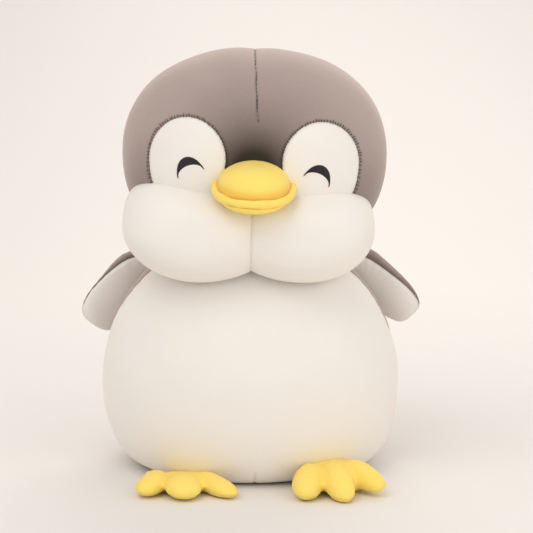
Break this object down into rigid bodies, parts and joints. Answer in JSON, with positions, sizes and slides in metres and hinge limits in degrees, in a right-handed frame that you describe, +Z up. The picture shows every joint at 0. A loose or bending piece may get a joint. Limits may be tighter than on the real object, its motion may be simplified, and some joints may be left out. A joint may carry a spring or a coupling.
{
  "type": "plush penguin",
  "caption": "Soft stuffed penguin that sits upright: round white front, grey back, puffed white cheeks, yellow beak and feet, small flippers.",
  "frame": {"origin": "on the floor, under the middle of the trunk's flat base", "axes": "+Z up, the face looks along -Y, the toy's own left side is +X"},
  "size_m": [0.3296, 0.2998, 0.4008],
  "materials": {
    "black_embroidery": "satin stitch, slight gloss along the threads",
    "fibre_filling": "loose polyester fibre",
    "grey_plush": "very fine, soft stretch velour, matt",
    "grey_thread": "twisted sewing thread, matt",
    "label_satin": "woven satin tape, blank",
    "white_plush": "very fine, soft stretch velour, matt",
    "yellow_plush": "short soft pile, matt"
  },
  "bodies": {
    "body": {"back_panel_left": "grey_plush", "back_panel_right": "grey_plush", "base_panel": "grey_plush", "belly_panel": "white_plush", "body_filling": "fibre_filling", "care_label": "label_satin", "closing_seam_thread": "grey_thread"},
    "neck": {"neck_filling": "fibre_filling", "neck_seam_thread": "grey_thread"},
    "head": {"beak_filling": "fibre_filling", "beak_lower": "yellow_plush", "beak_upper": "yellow_plush", "cheek_filling_left": "fibre_filling", "cheek_filling_right": "fibre_filling", "cheek_panel_left": "white_plush", "cheek_panel_right": "white_plush", "crown_dart_thread": "grey_thread", "eye_patch_left": "white_plush", "eye_patch_right": "white_plush", "eye_patch_thread_left": "grey_thread", "eye_patch_thread_right": "grey_thread", "eye_smile_left": "black_embroidery", "eye_smile_right": "black_embroidery", "head_back_panel_left": "grey_plush", "head_back_panel_right": "grey_plush", "head_filling": "fibre_filling", "head_front_panel": "grey_plush"},
    "wing_left": {"wing_filling_left": "fibre_filling", "wing_inner_left": "white_plush", "wing_outer_left": "grey_plush"},
    "wing_right": {"wing_filling_right": "fibre_filling", "wing_inner_right": "white_plush", "wing_outer_right": "grey_plush"},
    "foot_left": {"foot_filling_left": "fibre_filling", "foot_sole_left": "yellow_plush", "foot_upper_left": "yellow_plush"},
    "foot_right": {"foot_filling_right": "fibre_filling", "foot_sole_right": "yellow_plush", "foot_upper_right": "yellow_plush"},
    "tail": {"tail_filling": "fibre_filling", "tail_lower": "grey_plush", "tail_upper": "grey_plush"}
  },
  "joints": [
    {"name": "head_turn", "type": "hinge", "parent": "body", "child": "neck", "pos_m": [0, 0, 0.214], "axis": [0, 0, 1], "range_deg": [-15, 15], "stiffness_Nm_per_rad": 0.6},
    {"name": "head_nod", "type": "hinge", "parent": "neck", "child": "head", "pos_m": [0, 0.052, 0.214], "axis": [-1, 0, 0], "range_deg": [0, 12], "stiffness_Nm_per_rad": 0.4},
    {"name": "wing_left_flap", "type": "hinge", "parent": "body", "child": "wing_left", "pos_m": [0.082, 0.042, 0.2045], "axis": [0, -1, 0], "range_deg": [0, 45], "stiffness_Nm_per_rad": 0.03},
    {"name": "wing_right_flap", "type": "hinge", "parent": "body", "child": "wing_right", "pos_m": [-0.082, 0.042, 0.2045], "axis": [0, 1, 0], "range_deg": [0, 45], "stiffness_Nm_per_rad": 0.03},
    {"name": "foot_left_fold", "type": "hinge", "parent": "body", "child": "foot_left", "pos_m": [0.076, -0.097, 0.027], "axis": [-1, 0, 0], "range_deg": [0, 35], "stiffness_Nm_per_rad": 0.05},
    {"name": "foot_right_fold", "type": "hinge", "parent": "body", "child": "foot_right", "pos_m": [-0.057, -0.097, 0.027], "axis": [-1, 0, 0], "range_deg": [0, 35], "stiffness_Nm_per_rad": 0.05},
    {"name": "tail_flex", "type": "hinge", "parent": "body", "child": "tail", "pos_m": [0, 0.114, 0.04], "axis": [1, 0, 0], "range_deg": [0, 25], "stiffness_Nm_per_rad": 0.02}
  ]
}
